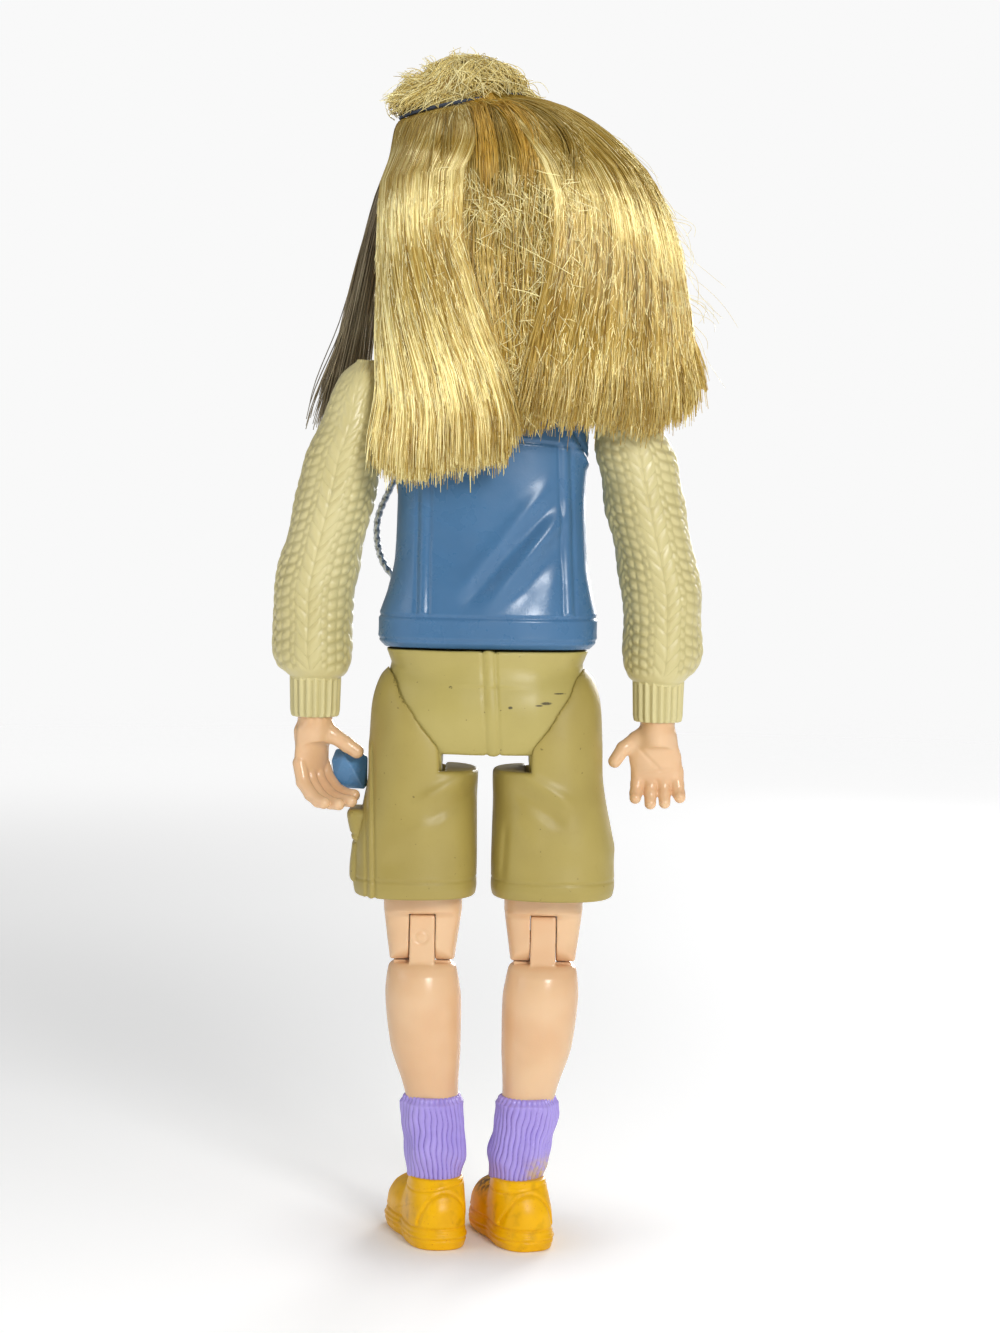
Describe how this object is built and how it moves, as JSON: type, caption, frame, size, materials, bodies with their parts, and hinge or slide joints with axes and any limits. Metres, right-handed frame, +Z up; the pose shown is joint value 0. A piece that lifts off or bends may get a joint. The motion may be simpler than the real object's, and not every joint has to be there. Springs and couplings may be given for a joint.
{
  "type": "miniature doll",
  "caption": "Jointed miniature doll with moulded vest, knit sleeves, shorts, socks and shoes, rooted hair with a tied puff, a neck cord and a small toy case in the left hand",
  "frame": {"origin": "On the floor under the middle of the doll's bounding box, both soles at Z = 0", "axes": "+Z up, the doll faces -Y, its left side is +X"},
  "size_m": [0.0599, 0.0326, 0.1648],
  "materials": {
    "skin": "satin moulded vinyl in a peach skin tone",
    "vest": "glossy moulded plastic, slate blue",
    "knit": "moulded cable knit, satin cream-olive plastic",
    "khaki": "satin moulded plastic, khaki",
    "seat": "satin moulded plastic, a lighter khaki than the legs",
    "sock": "painted lavender over moulded ribs",
    "shoe": "painted golden yellow, satin",
    "hair": "rooted glossy pale blonde fibre",
    "elastic": "dark blue-grey braided elastic",
    "cord": "silver braided cord",
    "gadget": "glossy blue plastic with flat facets",
    "metal": "plain steel pin stock"
  },
  "bodies": {
    "torso": {"vest_back": "vest", "vest_front": "vest", "sweater_collar": "knit", "neck_post": "skin", "neck_cord": "cord", "cord_clasp": "metal"},
    "head": {"head": "skin", "hair_cap": "hair", "hair_curtain_left": "hair", "hair_curtain_right": "hair", "hair_lock_left": "hair", "hair_lock_right": "hair", "hair_puff": "hair", "hair_band": "elastic"},
    "left_arm": {"left_sleeve": "knit"},
    "right_arm": {"right_sleeve": "knit"},
    "left_hand": {"left_hand": "skin", "held_gadget": "gadget"},
    "right_hand": {"right_hand": "skin"},
    "pelvis": {"pelvis": "seat", "waist_post": "seat", "hip_axle": "metal"},
    "left_thigh": {"left_shorts_leg": "khaki", "cargo_pocket": "khaki", "left_knee_fork": "skin", "left_knee_pin": "metal"},
    "right_thigh": {"right_shorts_leg": "khaki", "right_knee_fork": "skin", "right_knee_pin": "metal"},
    "left_shin": {"left_calf": "skin", "left_sock": "sock", "left_shoe": "shoe"},
    "right_shin": {"right_calf": "skin", "right_sock": "sock", "right_shoe": "shoe"}
  },
  "joints": [
    {"name": "neck_turn", "type": "hinge", "parent": "torso", "child": "head", "pos_m": [0, 0, 0.1255], "axis": [0, 0, 1], "range_deg": [-60, 60], "deforming": ["hair_curtain_left", "hair_curtain_right", "hair_lock_left", "hair_lock_right"]},
    {"name": "left_shoulder", "type": "hinge", "parent": "torso", "child": "left_arm", "pos_m": [0.0145, 0, 0.116], "axis": [-1, 0, 0], "range_deg": [-45, 170]},
    {"name": "right_shoulder", "type": "hinge", "parent": "torso", "child": "right_arm", "pos_m": [-0.0145, 0, 0.116], "axis": [-1, 0, 0], "range_deg": [-45, 170]},
    {"name": "left_wrist", "type": "hinge", "parent": "left_arm", "child": "left_hand", "pos_m": [0.0239, -0.0008, 0.0735], "axis": [0, 0, 1], "range_deg": [-90, 90]},
    {"name": "right_wrist", "type": "hinge", "parent": "right_arm", "child": "right_hand", "pos_m": [-0.0239, -0.0008, 0.0735], "axis": [0, 0, 1], "range_deg": [-90, 90]},
    {"name": "waist_turn", "type": "hinge", "parent": "torso", "child": "pelvis", "pos_m": [0, 0, 0.0834], "axis": [0, 0, 1], "range_deg": [-30, 30]},
    {"name": "left_hip", "type": "hinge", "parent": "pelvis", "child": "left_thigh", "pos_m": [0.0139, -0.001, 0.0747], "axis": [-1, 0, 0], "range_deg": [-10, 85]},
    {"name": "right_hip", "type": "hinge", "parent": "pelvis", "child": "right_thigh", "pos_m": [-0.0139, -0.001, 0.0747], "axis": [-1, 0, 0], "range_deg": [-10, 85]},
    {"name": "left_knee", "type": "hinge", "parent": "left_thigh", "child": "left_shin", "pos_m": [0.0084, 0, 0.043], "axis": [1, 0, 0], "range_deg": [0, 70]},
    {"name": "right_knee", "type": "hinge", "parent": "right_thigh", "child": "right_shin", "pos_m": [-0.0084, 0, 0.043], "axis": [1, 0, 0], "range_deg": [0, 70]}
  ]
}
